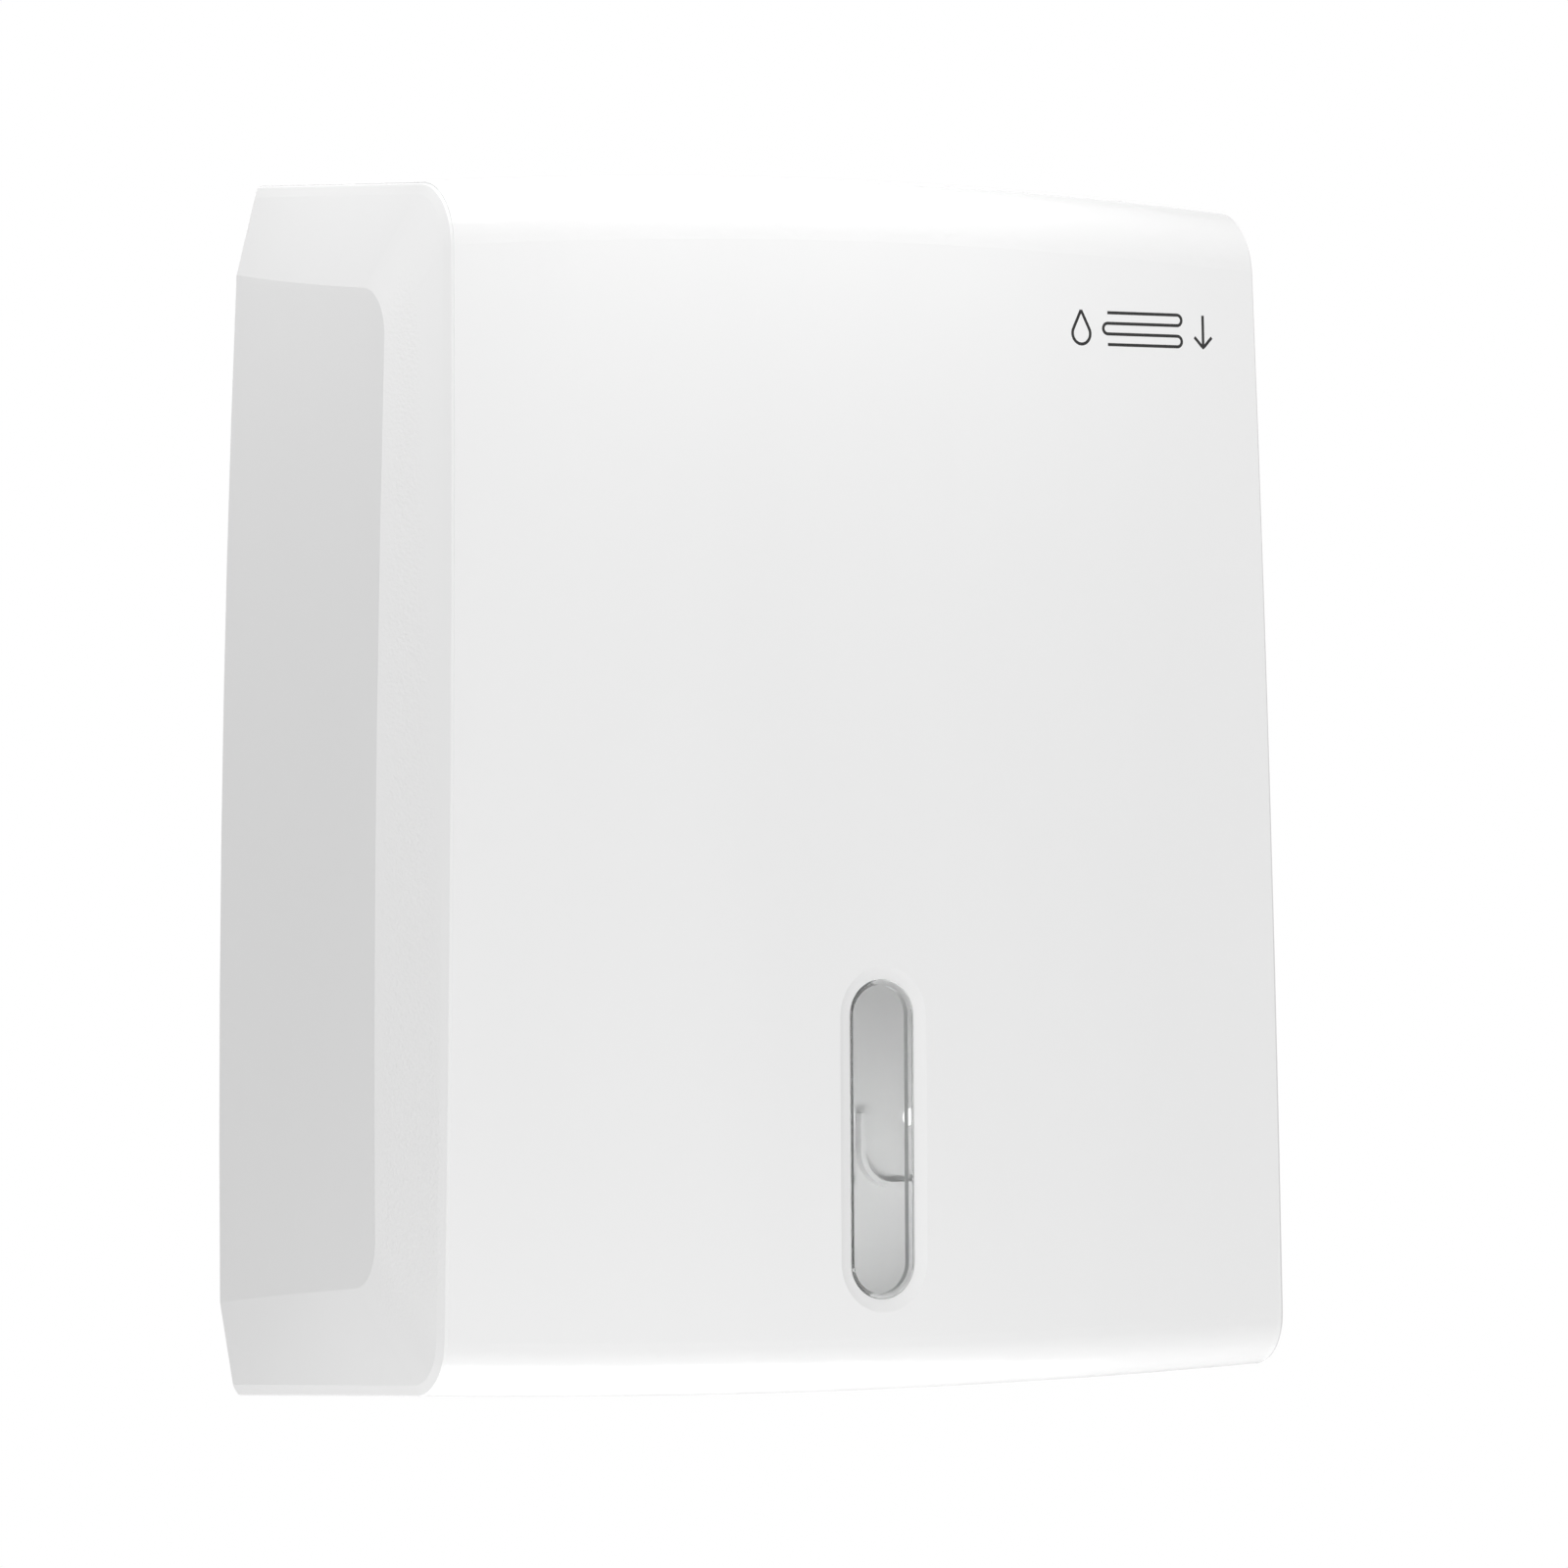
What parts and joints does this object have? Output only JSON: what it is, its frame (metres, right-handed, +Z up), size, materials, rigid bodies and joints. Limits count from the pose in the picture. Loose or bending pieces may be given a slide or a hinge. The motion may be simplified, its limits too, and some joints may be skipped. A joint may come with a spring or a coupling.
{
  "type": "folded paper towel dispenser",
  "caption": "Lockable wall dispenser for folded paper hand towels: white bevelled cover on lower hinges, clear level window, outlet slot underneath.",
  "frame": {"origin": "on the wall plane, on the centreline, at mid-height of the cover's side edges", "axes": "+Z up, +Y into the wall, the front faces -Y, +X to the right seen from the front"},
  "size_m": [0.2868, 0.1266, 0.3485],
  "materials": {
    "cover_white": "glossy moulded",
    "back_white": "satin moulded",
    "inner_white": "satin moulded",
    "lens_clear": "clear polished",
    "zinc_steel": "zinc plated",
    "chrome": "nickel plated",
    "chrome_dark": "turned",
    "bush_nylon": "natural nylon",
    "buffer_rubber": "matt"
  },
  "bodies": {
    "wall_unit": {"back_plate": "back_white", "outlet_tray": "inner_white", "tray_screws": "zinc_steel", "paper_guide_left": "inner_white", "paper_guide_right": "inner_white", "guide_screws": "zinc_steel", "lock_keeper": "zinc_steel", "keeper_screws": "zinc_steel", "cover_buffers": "buffer_rubber", "hinge_pin_left": "zinc_steel", "hinge_pin_right": "zinc_steel"},
    "cover": {"front_cover": "cover_white", "window_lens": "lens_clear", "window_retainer": "inner_white", "window_screws": "zinc_steel", "hinge_bush_left": "bush_nylon", "hinge_bush_right": "bush_nylon", "lock_housing": "chrome", "lock_washer": "zinc_steel", "lock_nut": "zinc_steel"},
    "lock_cylinder": {"lock_plug": "chrome_dark", "lock_cam": "zinc_steel", "cam_washer": "zinc_steel", "cam_screw": "zinc_steel"}
  },
  "joints": [
    {"name": "cover_hinge", "type": "hinge", "parent": "wall_unit", "child": "cover", "pos_m": [0, -0.013, -0.163], "axis": [1, 0, 0], "range_deg": [0, 90]},
    {"name": "lock_turn", "type": "hinge", "parent": "cover", "child": "lock_cylinder", "pos_m": [0, -0.03, 0.16], "axis": [0, 0, -1], "range_deg": [0, 90]}
  ]
}
